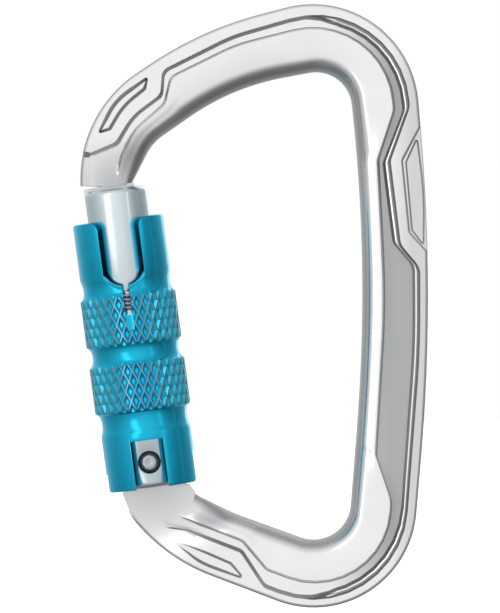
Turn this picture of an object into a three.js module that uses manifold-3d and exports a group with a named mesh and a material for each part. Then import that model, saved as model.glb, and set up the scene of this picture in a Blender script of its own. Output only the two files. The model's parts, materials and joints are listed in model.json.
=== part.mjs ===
// A D-shaped locking carabiner with a lift-and-twist sleeve, in millimetres, +Z up.
// The origin is the bearing point under the top basket. X runs from the gate to the spine,
// Y through the thickness, Z along the load line.
import * as THREE from "three";
import { mergeVertices } from "three/addons/utils/BufferGeometryUtils.js";
import Module from "manifold-3d";

const wasm = await Module();
wasm.setup();

// ---- driving sizes ----
const LENGTH = 99.8; // overall, along the load line
const WIDTH = 57.6; // overall, gate side to spine
const CROWN = 11.1; // body section over the top basket
const SPINE_X = 18.2; // outermost point of the spine
const RAIL_Y = 5; // half thickness of the rope rail
const RIM_Y = 3.7; // half thickness of the outer rim
const WEB_Y = 2; // half thickness of the web between them

const GATE_R = 5.5; // gate bar radius
const GATE_FOOT = 4.2; // gate below the rivet
const GATE_FLAT_DEPTH = 0.65; // outer flat on the gate's top and the nose
const GATE_CHAMFER = 0.9;
const GATE_OPEN_DEG = 28; // how far the gate swings
const RIVET_R = 1.25; // rivet shank
const RIVET_HEAD_R = 1.35; // peened rivet head
const RIVET_INSET = 0.25; // rivet ends below the gate's round
const RECESS_R = 1.9; // counterbore round the rivet head
const RECESS_DEPTH = 0.9;

const BLADE_Y = 1.9; // half thickness of the hinge blade
const BLADE_INSET = 0.5; // hinge blade's cam inside the sleeve's skirt
const CAM_RISE = 0.9; // how much the hinge blade lifts the plunger
const NECK_Y = 1.6; // half thickness of the nose neck
const HEAD_Y = 2.3; // half thickness of the nose head
const NOSE_NECK = 1.5; // neck between the nose head and the gate's top
const NOSE_GRIP = 1.2; // inner side of the nose, in from the gate's inner side
const NOSE_PLAY = 0.5; // extra room round the nose in its slot
const PLUNGER_R = 1.9;
const PLUNGER_TIP_R = 1.5;
const PLUNGER_LENGTH = 7.3;
const GATE_SPRING_LENGTH = 9.4;
const GATE_SPRING_WIRE = 0.5;
const GATE_SPRING_TURNS = 8;

const RUN = 0.3; // running clearance between pieces that move
const SEAT = 0.05; // clearance between pieces that are pressed together
const SPRING_PLAY = 0.25; // a spring's wire in its groove or chamber

const LIFT_SPRING_WIRE = 0.6;
const LIFT_SPRING_TURNS = 6;
const RETURN_WIRE = 0.65;
const RETURN_TURNS = 4;
const RETURN_ABOVE_PIN = 1.7; // lowest coil of the return spring, above the guide pin
const RETURN_COIL_GAP = 0.03;
const RETURN_LEG = 0.7; // how far its leg stands into the sleeve
const RETURN_HOOK = 1.1; // how far its hook drops
const HOOK_NOTCH = 1.8; // width of the hook's notch in the gate

const SLEEVE_SKIRT = 4.3; // sleeve below the rivet
const SKIRT_WALL = 1.7;
const WAIST_WALL = 0.85; // sleeve wall between its bands
const KNURL_WALL = 1.6;
const PRONG_WALL = 1.2;
const PRONG_BELOW_TOP = 5.2; // prong tips below the gate's top
const PRONG_FILLET = 2;
const SLEEVE_BEVEL = 0.3;
const SKIRT_TOP = 5.3;
const LOW_KNURL = [8.7, 16.65]; // lower knurled band, above the rivet
const HIGH_KNURL = [19.8, 27.9]; // upper knurled band
const PRONG_ROOT = 31.1;
const WINDOW_HALF = 3.45; // half width of the window between the prongs
const WINDOW_ABOVE_COILS = 2.4; // window's foot above the return spring
const SLIT_PLAY = 0.5; // the slit is this much wider than the return spring's wire
const SLIT_BELOW_COILS = 1.5; // slit's foot below the return spring
const RIVET_SLOT_WIDTH = 5.4;
const RIVET_SLOT_TOP = 3.7;
const OUTER_NOTCH = [3.8, 3]; // width and height
const INNER_NOTCH = [4.2, 5.1];
const SLEEVE_LIFT = 2.5; // travel of the sleeve
const SLEEVE_TURN_DEG = 90;

const GUIDE_PIN_R = 0.8;
const PIN_ABOVE_RING = 2.6; // guide pin above the snap ring
const GUIDE_PIN_REACH = 0.4; // how far the guide pin stands into the sleeve
const GUIDE_PIN_IN = 3; // its inner end, from the gate axis
const SNAP_RING = { z: 20.2, height: 0.8, grip: 0.45, gap: 1.6 };
const WASHER_HEIGHT = 0.3;
const WASHER_PLAY = 0.12;

const STEP_DEG = 7.5; // facet of round pieces
const BODY_STATIONS = 10; // stations in each stretch of the body

// ---- sizes that follow ----
const GATE_FLAT = GATE_R - GATE_FLAT_DEPTH;
const GUIDE_PIN_Z = SNAP_RING.z + SNAP_RING.height + PIN_ABOVE_RING;
const RETURN_LOW = GUIDE_PIN_Z + RETURN_ABOVE_PIN;
const RETURN_HIGH = RETURN_LOW + (RETURN_TURNS + 0.25) * (RETURN_WIRE + RETURN_COIL_GAP);
const WINDOW_FLOOR = RETURN_HIGH + WINDOW_ABOVE_COILS;
const SLIT_FLOOR = RETURN_LOW - SLIT_BELOW_COILS;
const SLEEVE_BORE = GATE_R + LIFT_SPRING_WIRE + SPRING_PLAY; // spring chamber and prongs
const SKIRT_BORE = GATE_R + RUN;
const SKIRT_R = SKIRT_BORE + SKIRT_WALL;
const BLADE_R = SKIRT_BORE - BLADE_INSET - CAM_RISE; // hinge blade end at rest
const WAIST_R = SLEEVE_BORE + WAIST_WALL;
const KNURL_R = SLEEVE_BORE + KNURL_WALL;
const PRONG_R = SLEEVE_BORE + PRONG_WALL;
const SLEEVE_SHOULDER = LOW_KNURL[0];
const SLIT_WIDTH = RETURN_WIRE + SLIT_PLAY;
const RETURN_GROOVE_R = GATE_R - RETURN_WIRE - SPRING_PLAY;
const GUIDE_PIN_OUT = SLEEVE_BORE + GUIDE_PIN_REACH;
const TRACK_R = GUIDE_PIN_OUT + SPRING_PLAY;
const SNAP_RING_INNER = GATE_R - SNAP_RING.grip;
const SNAP_RING_OUTER = SLEEVE_BORE - SPRING_PLAY;

const BASE = CROWN - LENGTH; // lowest point of the body
const LEFT = SPINE_X - WIDTH; // outermost point on the gate's side

// ---- gate axis, from the rivet to the gate's top ----
const RIVET = new THREE.Vector2(LEFT + 11.45, BASE + 24.1);
const GATE_END = new THREE.Vector2(LEFT + 5.37, -19.3);
const GATE_TOP = RIVET.distanceTo(GATE_END);
const GATE_TILT = Math.atan2(RIVET.x - GATE_END.x, GATE_END.y - RIVET.y);
const NOSE_TIP = Math.hypot(GATE_TOP - PRONG_BELOW_TOP, PRONG_R) + RUN; // clears the prongs' swing
const NOSE_ROOT = Math.hypot(GATE_TOP, GATE_R) + RUN; // clears the gate's swing
const HINGE_ROOT = Math.hypot(SKIRT_R, SLEEVE_SKIRT) + RUN; // clears the skirt's swing
const NOSE_HEAD = GATE_TOP - NOSE_NECK;

const rad = THREE.MathUtils.degToRad;

// ---- solids ----

function solidOf(geometry) {
  const bare = geometry.index ? geometry.toNonIndexed() : geometry.clone();
  for (const name of Object.keys(bare.attributes)) {
    if (name !== "position") bare.deleteAttribute(name);
  }
  const merged = mergeVertices(bare, 1e-4);
  return new wasm.Manifold(
    new wasm.Mesh({
      numProp: 3,
      vertProperties: new Float32Array(merged.attributes.position.array),
      triVerts: new Uint32Array(merged.index.array),
    }),
  );
}

function geometryOf(solid) {
  const mesh = solid.getMesh();
  const geometry = new THREE.BufferGeometry();
  geometry.setAttribute("position", new THREE.BufferAttribute(mesh.vertProperties, 3));
  geometry.setIndex(new THREE.BufferAttribute(mesh.triVerts, 1));
  geometry.computeVertexNormals();
  return geometry;
}

function joined(...geometries) {
  return geometries.map(solidOf).reduce((whole, piece) => whole.add(piece));
}

function cut(solid, ...geometries) {
  return geometries.map(solidOf).reduce((left, piece) => left.subtract(piece), solid);
}

// A closed profile of [radius, height] points turned about Z, listed so that the faces point out.
function turned(profile, segments = Math.round(360 / STEP_DEG)) {
  const points = [...profile, profile[0]].map(([r, z]) => new THREE.Vector2(r, z));
  return new THREE.LatheGeometry(points, segments).rotateX(Math.PI / 2);
}

function ring(inner, outer, low, high) {
  return turned([[inner, low], [outer, low], [outer, high], [inner, high]]);
}

// A round bar along Z with a chamfer at each end.
function bar(radius, low, high, chamfer = 0) {
  const profile = [[0, low], [radius - chamfer, low]];
  if (chamfer) profile.push([radius, low + chamfer], [radius, high - chamfer]);
  profile.push([radius - chamfer, high], [0, high]);
  const points = profile.map(([r, z]) => new THREE.Vector2(r, z));
  return new THREE.LatheGeometry(points, Math.round(360 / STEP_DEG)).rotateX(Math.PI / 2);
}

function box(x, y, z) {
  const size = [x, y, z].map(([low, high]) => high - low);
  const middle = [x, y, z].map(([low, high]) => (low + high) / 2);
  return new THREE.BoxGeometry(...size).translate(...middle);
}

// A flat outline of [x, z] points given thickness along Y, from low to high.
function plate(outline, low, high) {
  const shape = new THREE.Shape(outline.map(([x, z]) => new THREE.Vector2(x, z)));
  const flat = new THREE.ExtrudeGeometry(shape, { depth: high - low, bevelEnabled: false });
  return flat.rotateX(Math.PI / 2).translate(0, high, 0);
}

function arc(x, z, radius, fromDeg, toDeg, steps = 12) {
  return Array.from({ length: steps + 1 }, (_, i) => {
    const angle = rad(fromDeg + ((toDeg - fromDeg) * i) / steps);
    const r = typeof radius === "function" ? radius(i / steps) : radius;
    return [x + r * Math.cos(angle), z + r * Math.sin(angle)];
  });
}

// A round wire along points, with flat ends.
function wire(points, radius, sides = 8) {
  const positions = [];
  const index = [];
  const count = points.length;
  let side = null;
  points.forEach((point, i) => {
    const before = points[Math.max(i - 1, 0)];
    const after = points[Math.min(i + 1, count - 1)];
    const along = after.clone().sub(before).normalize();
    if (!side) {
      const up = Math.abs(along.z) < 0.9 ? new THREE.Vector3(0, 0, 1) : new THREE.Vector3(1, 0, 0);
      side = up.cross(along).normalize();
    }
    side.addScaledVector(along, -side.dot(along)).normalize();
    const across = along.clone().cross(side);
    for (let k = 0; k < sides; k++) {
      const angle = (2 * Math.PI * k) / sides;
      const spot = point
        .clone()
        .addScaledVector(side, radius * Math.cos(angle))
        .addScaledVector(across, radius * Math.sin(angle));
      positions.push(spot.x, spot.y, spot.z);
    }
  });
  for (let i = 0; i + 1 < count; i++) {
    for (let k = 0; k < sides; k++) {
      const a = i * sides + k;
      const b = i * sides + ((k + 1) % sides);
      index.push(a, b, a + sides, b, b + sides, a + sides);
    }
  }
  for (let k = 1; k + 1 < sides; k++) {
    const last = (count - 1) * sides;
    index.push(0, k + 1, k, last, last + k, last + k + 1);
  }
  const geometry = new THREE.BufferGeometry();
  geometry.setAttribute("position", new THREE.Float32BufferAttribute(positions, 3));
  geometry.setIndex(index);
  return geometry;
}

function coil(radius, low, high, turns, startDeg = 0, stepsPerTurn = 16) {
  const steps = Math.ceil(turns * stepsPerTurn);
  return Array.from({ length: steps + 1 }, (_, i) => {
    const angle = rad(startDeg) + (2 * Math.PI * turns * i) / steps;
    const z = low + ((high - low) * i) / steps;
    return new THREE.Vector3(radius * Math.cos(angle), radius * Math.sin(angle), z);
  });
}

// ---- the frame of the gate: Z along the gate axis, origin at the rivet, X into the rope space ----
const gateFrame = new THREE.Group();
gateFrame.position.set(RIVET.x, 0, RIVET.y);
gateFrame.rotation.y = -GATE_TILT;
gateFrame.updateMatrix();

function inBodyFrame(geometry) {
  return geometry.applyMatrix4(gateFrame.matrix);
}

// ---- body ----

// Corners are [x, z, fillet radius]; the first and last are plain ends. The two outlines have the same
// corners in the same order, so that a station can be taken across the body between them.
function outerOutline() {
  return [
    [LEFT - 0.1, -18.8],
    [LEFT - 0.5, -6.2, 22],
    [LEFT + 20.1, CROWN - 4, 33],
    [SPINE_X - 3.3, CROWN + 5, 17.6],
    [SPINE_X + 1.2, (CROWN + BASE) / 2 + 1.7, 320],
    [SPINE_X - 3.8, BASE - 7.1, 17.1],
    [LEFT + 14.4, BASE + 7.9, 31],
    [LEFT + 8.6, BASE + 14.5, 8.4],
    [LEFT + 6.7, BASE + 18.4],
  ];
}

function innerOutline() {
  return [
    [LEFT + 8.1, -19],
    [LEFT + 11.9, -11.6, 8.3],
    [LEFT + 25.1, -2.4, 40],
    [4.9, 1.2, 6],
    [8.6, (CROWN + BASE) / 2 + 6.7, 280],
    [4.8, BASE + 8.7, 6.2],
    [LEFT + 25.4, BASE + 15.5, 30],
    [LEFT + 19.1, BASE + 18.6, 5],
    [LEFT + 16.7, BASE + 21.2],
  ];
}

// Walks round an outline with its corners filleted. Returns points, and where each corner's middle lies.
function rounded(corners) {
  const at = corners.map(([x, z]) => new THREE.Vector2(x, z));
  const path = [at[0]];
  const middles = [0];
  const arcSteps = 16;
  for (let i = 1; i + 1 < at.length; i++) {
    const back = at[i - 1].clone().sub(at[i]);
    const ahead = at[i + 1].clone().sub(at[i]);
    const room = 0.5 * Math.min(back.length(), ahead.length());
    back.normalize();
    ahead.normalize();
    const half = Math.acos(THREE.MathUtils.clamp(back.dot(ahead), -1, 1)) / 2;
    const tangent = Math.min(corners[i][2] / Math.tan(half), 1.9 * room);
    const radius = tangent * Math.tan(half);
    const centre = back.clone().add(ahead).normalize();
    centre.multiplyScalar(Math.hypot(radius, tangent)).add(at[i]);
    const from = at[i].clone().addScaledVector(back, tangent).sub(centre);
    const to = at[i].clone().addScaledVector(ahead, tangent).sub(centre);
    const start = from.angle();
    let sweep = to.angle() - start;
    if (sweep > Math.PI) sweep -= 2 * Math.PI;
    if (sweep < -Math.PI) sweep += 2 * Math.PI;
    for (let k = 0; k <= arcSteps; k++) {
      const angle = start + (sweep * k) / arcSteps;
      const spot = new THREE.Vector2(Math.cos(angle), Math.sin(angle)).multiplyScalar(radius).add(centre);
      path.push(spot);
      if (2 * k === arcSteps) middles.push(path.length - 1);
    }
  }
  path.push(at[at.length - 1]);
  middles.push(path.length - 1);
  const lengths = [0];
  for (let i = 1; i < path.length; i++) {
    lengths.push(lengths[i - 1] + path[i].distanceTo(path[i - 1]));
  }
  return { path, lengths, knots: middles.map((m) => lengths[m]) };
}

// The point a share of the way between knot k and knot k + 1.
function along(outline, k, share) {
  const want = THREE.MathUtils.lerp(outline.knots[k], outline.knots[k + 1], share);
  let i = 1;
  while (i + 1 < outline.lengths.length && outline.lengths[i] < want) i++;
  const span = outline.lengths[i] - outline.lengths[i - 1] || 1;
  return outline.path[i - 1].clone().lerp(outline.path[i], (want - outline.lengths[i - 1]) / span);
}

// Widths across the body at each knot: the rope rail from the inner edge, and the rim from the outer edge.
const RAIL_WIDTHS = [3.4, 4, 5.4, 6.5, 3.4, 6.6, 6.2, 4.6, 4];
const RIM_WIDTHS = [2, 4.6, 2, 2, 2.9, 2.4, 4.6, 4.4, 3];

// The half section of the body: share of the way across, and half thickness, from inner to outer edge.
function halfSection(width, rail, rim, railY, rimY) {
  const rise = Math.min(2.6, 0.75 * rail);
  const quarter = [15, 40, 65, 90].map((deg) => [
    rise * (1 - Math.cos(rad(deg))),
    railY * Math.sin(rad(deg)),
  ]);
  const floor = [
    [rail - 0.3, railY - 0.2],
    [rail + 0.5, WEB_Y],
    [width - rim - 0.5, WEB_Y],
    [width - rim, rimY],
    [width - 0.8, rimY],
  ];
  return [...quarter, ...floor].map(([d, y]) => [d / width, Math.max(y, 0.4)]);
}

// Half thickness grows from the web's at the ends of the body to its full value.
function grown(full, distance) {
  const share = THREE.MathUtils.smoothstep(distance, 0, 13);
  return THREE.MathUtils.lerp(WEB_Y + 0.15, full, share);
}

function bodyLoft() {
  const outer = rounded(outerOutline());
  const inner = rounded(innerOutline());
  const stretches = outer.knots.length - 1;
  const rings = [];
  for (let k = 0; k < stretches; k++) {
    const steps = BODY_STATIONS + (k === stretches - 1 ? 1 : 0);
    for (let i = 0; i < steps; i++) {
      const share = eased(i / BODY_STATIONS);
      const a = along(inner, k, share);
      const b = along(outer, k, share);
      const middle = a.clone().lerp(b, 0.5);
      const fromEnd = Math.min(middle.distanceTo(RIVET) - HINGE_ROOT, Math.abs(middle.distanceTo(RIVET) - NOSE_ROOT));
      const nearEnd = k < 2 || k > stretches - 3;
      const distance = nearEnd ? Math.max(fromEnd, 0) : 13;
      const section = halfSection(
        a.distanceTo(b),
        THREE.MathUtils.lerp(RAIL_WIDTHS[k], RAIL_WIDTHS[k + 1], share),
        THREE.MathUtils.lerp(RIM_WIDTHS[k], RIM_WIDTHS[k + 1], share),
        grown(RAIL_Y, distance),
        grown(RIM_Y, distance),
      );
      const half = [[0, 0], ...section, [1, 0.6 * grown(RIM_Y, distance)]];
      const loop = [
        ...half.map(([t, y]) => [t, -y]),
        ...half.slice(1).reverse().map(([t, y]) => [t, y]),
      ];
      rings.push(loop.map(([t, y]) => {
        const spot = a.clone().lerp(b, t);
        return [spot.x, y, spot.y];
      }));
    }
  }
  return lofted(rings);
}

// Stations crowd towards the corners at both ends of a stretch.
function eased(t) {
  return 0.35 * t + 0.65 * (0.5 - 0.5 * Math.cos(Math.PI * t));
}

// Skins rings of points, capped flat at both ends.
function lofted(rings) {
  const size = rings[0].length;
  const index = [];
  for (let i = 0; i + 1 < rings.length; i++) {
    for (let k = 0; k < size; k++) {
      const a = i * size + k;
      const b = i * size + ((k + 1) % size);
      index.push(a, a + size, b, b, a + size, b + size);
    }
  }
  for (let k = 1; k + 1 < size; k++) {
    const last = (rings.length - 1) * size;
    index.push(0, k, k + 1, last, last + k + 1, last + k);
  }
  const geometry = new THREE.BufferGeometry();
  geometry.setAttribute("position", new THREE.Float32BufferAttribute(rings.flat(2), 3));
  geometry.setIndex(index);
  return geometry;
}

// The nose: a neck and a wider head, both ends round about the rivet so that the gate swings clear.
function nose() {
  const side = GATE_R - NOSE_GRIP - RUN - NOSE_PLAY;
  const slab = (low, high, y) => {
    const start = 90 + THREE.MathUtils.radToDeg(Math.asin(GATE_FLAT / low));
    const end = 90 - THREE.MathUtils.radToDeg(Math.asin(side / low));
    const topStart = 90 + THREE.MathUtils.radToDeg(Math.asin(GATE_FLAT / high));
    const topEnd = 90 - THREE.MathUtils.radToDeg(Math.asin(side / high));
    return inBodyFrame(
      plate([...arc(0, 0, low, start, end, 6), ...arc(0, 0, high, topEnd, topStart, 6)], -y, y),
    );
  };
  return [slab(NOSE_TIP, NOSE_HEAD, HEAD_Y), slab(NOSE_TIP + NOSE_PLAY, NOSE_ROOT + NOSE_GRIP, NECK_Y)];
}

// The hinge blade: a cam over the rivet, running down into the body.
function hingeBlade() {
  const openDeg = GATE_OPEN_DEG;
  const reach = HINGE_ROOT + 1.5;
  const outline = [
    ...arc(0, 0, BLADE_R, 180, 90, 9),
    ...arc(0, 0, (t) => BLADE_R + CAM_RISE * t, 90, 90 - openDeg, 8).slice(1),
    ...arc(0, 0, BLADE_R + CAM_RISE, 90 - openDeg, -15, 9).slice(1),
    [SKIRT_BORE - 0.7, -SLEEVE_SKIRT + 0.2],
    [SKIRT_BORE - 0.6, -SLEEVE_SKIRT - 0.2],
    [SKIRT_BORE + 0.5, -SLEEVE_SKIRT - 0.5],
    [SKIRT_R + 0.4, -SLEEVE_SKIRT - 2.1],
    [0.55 * reach, -0.83 * reach],
    [-3, -0.96 * reach],
    [1.5 - SKIRT_BORE, -SLEEVE_SKIRT - 3.9],
    [0.6 - SKIRT_BORE, -SLEEVE_SKIRT - 0.4],
    [1.1 - SKIRT_BORE, -SLEEVE_SKIRT + 0.6],
  ];
  return inBodyFrame(plate(outline.reverse(), -BLADE_Y, BLADE_Y));
}

function frameBody() {
  const clearance = (radius) => inBodyFrame(
    new THREE.CylinderGeometry(radius, radius, 4 * RAIL_Y, 96),
  );
  const gateSide = solidOf(
    inBodyFrame(box([-GATE_R - 6, GATE_R + 9], [-9, 9], [GATE_TOP / 2, NOSE_ROOT + 1])),
  );
  const noseSweep = solidOf(clearance(NOSE_ROOT)).intersect(gateSide);
  let body = solidOf(bodyLoft()).subtract(noseSweep);
  body = cut(body, clearance(HINGE_ROOT));
  body = body.add(joined(...nose())).add(solidOf(hingeBlade()));
  const bore = new THREE.CylinderGeometry(RIVET_R + RUN, RIVET_R + RUN, 4 * BLADE_Y, 32);
  return cut(body, inBodyFrame(bore));
}

// ---- gate and its inner pieces, in the gate's frame ----

function gate() {
  const blank = solidOf(bar(GATE_R, -GATE_FOOT, GATE_TOP, GATE_CHAMFER));
  const wide = GATE_R + 1;
  const side = GATE_R - NOSE_GRIP;
  const slot = (low, high, y) =>
    plate([[-wide, low], [side, low], [side, high], [-wide, high]], -y, y);
  const groove = (r, low, high, play) => ring(r, wide, low - play, high + play);
  const recess = (out) => new THREE.CylinderGeometry(RECESS_R, RECESS_R, 2, 32)
    .translate(0, out * (wide - RECESS_DEPTH), 0);
  return cut(
    blank,
    box([-wide, wide], [-BLADE_Y - RUN, BLADE_Y + RUN], [-wide, BLADE_R + CAM_RISE + 1.5 * RUN]),
    slot(NOSE_TIP - RUN - NOSE_PLAY, NOSE_HEAD + RUN, HEAD_Y + RUN),
    slot(NOSE_TIP, wide + GATE_TOP, NECK_Y + RUN),
    box([-wide, -GATE_FLAT], [-wide, wide], [NOSE_TIP - 2, GATE_TOP + 1]),
    bar(PLUNGER_R + RUN, 0, plungerTop() + GATE_SPRING_LENGTH),
    new THREE.CylinderGeometry(RIVET_R + SEAT, RIVET_R + SEAT, 4 * GATE_R, 32),
    recess(1),
    recess(-1),
    groove(RETURN_GROOVE_R, RETURN_LOW, RETURN_HIGH, RETURN_WIRE / 2 + RUN / 2),
    box(
      [-wide, SPRING_PLAY - RETURN_GROOVE_R],
      [-HOOK_NOTCH / 2, HOOK_NOTCH / 2],
      [RETURN_LOW - RETURN_HOOK - NOSE_PLAY, RETURN_LOW],
    ),
    groove(SNAP_RING_INNER - SEAT, SNAP_RING.z, SNAP_RING.z + SNAP_RING.height, SEAT),
    guidePinBar(GUIDE_PIN_R + SEAT, GUIDE_PIN_IN - SEAT, wide),
  );
}

function plungerFoot() {
  return BLADE_R + RUN;
}

function plungerTop() {
  return plungerFoot() + PLUNGER_LENGTH;
}

function plunger() {
  const dome = [0, 25, 50, 75].map((deg) => [
    PLUNGER_TIP_R * Math.sin(rad(deg)),
    plungerFoot() + PLUNGER_TIP_R * (1 - Math.cos(rad(deg))),
  ]);
  const top = plungerTop();
  const points = [...dome, [PLUNGER_R, plungerFoot() + 2], [PLUNGER_R, top], [0, top]];
  const profile = points.map(([r, z]) => new THREE.Vector2(r, z));
  return new THREE.LatheGeometry(profile, 24).rotateX(Math.PI / 2);
}

function gateSpring() {
  const low = plungerTop() + GATE_SPRING_WIRE / 2 + SEAT;
  const high = plungerTop() + GATE_SPRING_LENGTH - GATE_SPRING_WIRE / 2 - SEAT;
  const radius = PLUNGER_R - GATE_SPRING_WIRE / 2;
  return wire(coil(radius, low, high, GATE_SPRING_TURNS, 0, 8), GATE_SPRING_WIRE / 2, 4);
}

function rivet() {
  const end = GATE_R - RIVET_INSET;
  const head = GATE_R - RECESS_DEPTH + SEAT;
  const half = [[RIVET_R, head], [RIVET_HEAD_R, head], [RIVET_HEAD_R, end - 0.3], [0.8, end]];
  const profile = [[0, -end], ...half.map(([r, y]) => [r, -y]).reverse(), ...half, [0, end]];
  const points = profile.map(([r, y]) => new THREE.Vector2(r, y));
  return new THREE.LatheGeometry(points, 32);
}

function guidePinBar(radius, from, to) {
  return new THREE.CylinderGeometry(radius, radius, to - from, 20)
    .translate(0, (from + to) / 2, GUIDE_PIN_Z);
}

function snapRing() {
  const { z, height, gap } = SNAP_RING;
  const whole = solidOf(ring(SNAP_RING_INNER, SNAP_RING_OUTER, z, z + height));
  const outside = [-SNAP_RING_OUTER - 1, 1 - SNAP_RING_INNER];
  return cut(whole, box(outside, [-gap / 2, gap / 2], [z - 1, z + height + 1]));
}

function thrustWasher() {
  const low = SLEEVE_SHOULDER + RUN;
  return ring(GATE_R + WASHER_PLAY, SLEEVE_BORE - WASHER_PLAY, low, low + WASHER_HEIGHT);
}

function liftSpring() {
  const low = SLEEVE_SHOULDER + RUN + WASHER_HEIGHT + LIFT_SPRING_WIRE / 2 + SEAT;
  const high = SNAP_RING.z - LIFT_SPRING_WIRE / 2 - SEAT;
  const radius = (GATE_R + SLEEVE_BORE) / 2;
  return wire(coil(radius, low, high, LIFT_SPRING_TURNS), LIFT_SPRING_WIRE / 2, 5);
}

// The torsion spring: a hook in the gate, the coils in the gate's groove, and a leg out through the slit.
function returnSpring() {
  const radius = RETURN_GROOVE_R + (RETURN_WIRE + RUN) / 2;
  const legX = (SLIT_WIDTH - RETURN_WIRE) / 2 - SEAT;
  const legDeg = THREE.MathUtils.radToDeg(Math.asin(legX / radius)) - 90;
  const startDeg = -180;
  const turns = RETURN_TURNS + (legDeg - startDeg) / 360;
  const hook = new THREE.Vector3(-radius, 0, RETURN_LOW - RETURN_HOOK);
  const coils = coil(radius, RETURN_LOW, RETURN_HIGH, turns, startDeg, 20);
  const leg = [GATE_R, SLEEVE_BORE, SLEEVE_BORE + RETURN_LEG].map(
    (r) => new THREE.Vector3(legX, -r, RETURN_HIGH),
  );
  return wire([hook, ...coils, ...leg], RETURN_WIRE / 2, 5);
}

// ---- sleeve, in the gate's frame ----

function sleeveBlank() {
  const tip = GATE_TOP - PRONG_BELOW_TOP;
  const bevel = SLEEVE_BEVEL;
  const band = ([low, high]) => [
    [KNURL_R - bevel, low],
    [KNURL_R, low + bevel],
    [KNURL_R, high - bevel],
    [KNURL_R - bevel, high],
  ];
  return turned([
    [SKIRT_BORE, -SLEEVE_SKIRT],
    [SKIRT_R - bevel, -SLEEVE_SKIRT],
    [SKIRT_R, -SLEEVE_SKIRT + bevel],
    [SKIRT_R, SKIRT_TOP],
    [WAIST_R, SKIRT_TOP + bevel],
    [WAIST_R, LOW_KNURL[0] - 0.5],
    ...band(LOW_KNURL),
    [WAIST_R, LOW_KNURL[1] + 0.4],
    [WAIST_R, HIGH_KNURL[0] - 0.4],
    ...band(HIGH_KNURL),
    [WAIST_R, HIGH_KNURL[1] + 0.8],
    [WAIST_R, PRONG_ROOT],
    [PRONG_R, PRONG_ROOT + 0.1],
    [PRONG_R, tip - bevel],
    [PRONG_R - bevel, tip],
    [SLEEVE_BORE, tip],
    [SLEEVE_BORE, SLEEVE_SHOULDER],
    [SKIRT_BORE, SLEEVE_SHOULDER],
  ]);
}

// The window between the prongs: round at its foot, flared at the prong tips.
function windowOutline() {
  const tip = GATE_TOP - PRONG_BELOW_TOP;
  const w = WINDOW_HALF;
  const f = PRONG_FILLET;
  return [
    ...arc(0, WINDOW_FLOOR + w, w, 180, 360, 16),
    ...arc(w + f, tip - f, f, 180, 90, 5),
    [w + f, tip + 1],
    [-w - f, tip + 1],
    ...arc(-w - f, tip - f, f, 90, 0, 5),
  ];
}

// The space for the guide pin inside the sleeve, open over the whole lift and turn.
function pinTrack() {
  const low = GUIDE_PIN_Z - SLEEVE_LIFT - GUIDE_PIN_R - RUN;
  const high = GUIDE_PIN_Z + GUIDE_PIN_R + RUN;
  const margin = THREE.MathUtils.radToDeg(Math.asin((GUIDE_PIN_R + RUN) / SLEEVE_BORE));
  const from = 90 - margin;
  const to = 90 + SLEEVE_TURN_DEG + margin;
  const steps = Math.round((to - from) / STEP_DEG);
  const outer = arc(0, 0, TRACK_R, from, to, steps);
  const inner = arc(0, 0, SLEEVE_BORE - 0.3, to, from, steps);
  const shape = new THREE.Shape([...outer, ...inner].map(([x, y]) => new THREE.Vector2(x, y)));
  return new THREE.ExtrudeGeometry(shape, { depth: high - low, bevelEnabled: false })
    .translate(0, 0, low);
}

function lockingSleeve() {
  const far = KNURL_R + 1;
  const low = -SLEEVE_SKIRT - 1;
  return cut(
    solidOf(sleeveBlank()),
    plate(windowOutline(), -far, far),
    box([-SLIT_WIDTH / 2, SLIT_WIDTH / 2], [-far, -4], [SLIT_FLOOR, WINDOW_FLOOR + 1]),
    box([-RIVET_SLOT_WIDTH / 2, RIVET_SLOT_WIDTH / 2], [-far, far], [low, RIVET_SLOT_TOP]),
    box([-far, 0], [-OUTER_NOTCH[0] / 2, OUTER_NOTCH[0] / 2], [low, OUTER_NOTCH[1] - SLEEVE_SKIRT]),
    box([0, far], [-INNER_NOTCH[0] / 2, INNER_NOTCH[0] / 2], [low, INNER_NOTCH[1] - SLEEVE_SKIRT]),
    pinTrack(),
  );
}

// ---- scene ----

const polished = { color: 0xe4e6e8, roughness: 0.22, metalness: 1 };
const satin = { color: 0xdfe9ec, roughness: 0.3, metalness: 1 };
const anodised = { color: 0x0095b8, roughness: 0.35, metalness: 0.8 };
const steel = { color: 0x9da0a3, roughness: 0.35, metalness: 1 };

function piece(name, shape, finish) {
  const geometry = shape.isBufferGeometry ? shape : geometryOf(shape);
  const mesh = new THREE.Mesh(geometry, new THREE.MeshStandardMaterial(finish));
  mesh.name = name;
  return mesh;
}

gateFrame.add(
  piece("gate", gate(), satin),
  piece("gate_rivet", rivet(), steel),
  piece("gate_plunger", plunger(), steel),
  piece("gate_spring", gateSpring(), steel),
  piece("guide_pin", guidePinBar(GUIDE_PIN_R, GUIDE_PIN_IN, GUIDE_PIN_OUT), steel),
  piece("snap_ring", snapRing(), steel),
  piece("thrust_washer", thrustWasher(), steel),
  piece("lift_spring", liftSpring(), steel),
  piece("return_spring", returnSpring(), steel),
  piece("locking_sleeve", lockingSleeve(), anodised),
);

const carabiner = new THREE.Group();
carabiner.add(piece("frame_body", frameBody(), polished), gateFrame);

export default carabiner;
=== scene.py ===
"""A D-shaped locking carabiner with a lift-and-twist sleeve: the fine surfaces, finishes and studio.

Sizes below are in millimetres unless a property says otherwise, and meshes are built in metres.
"""

import json
import math

import bpy
from mathutils import Matrix, Vector


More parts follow.
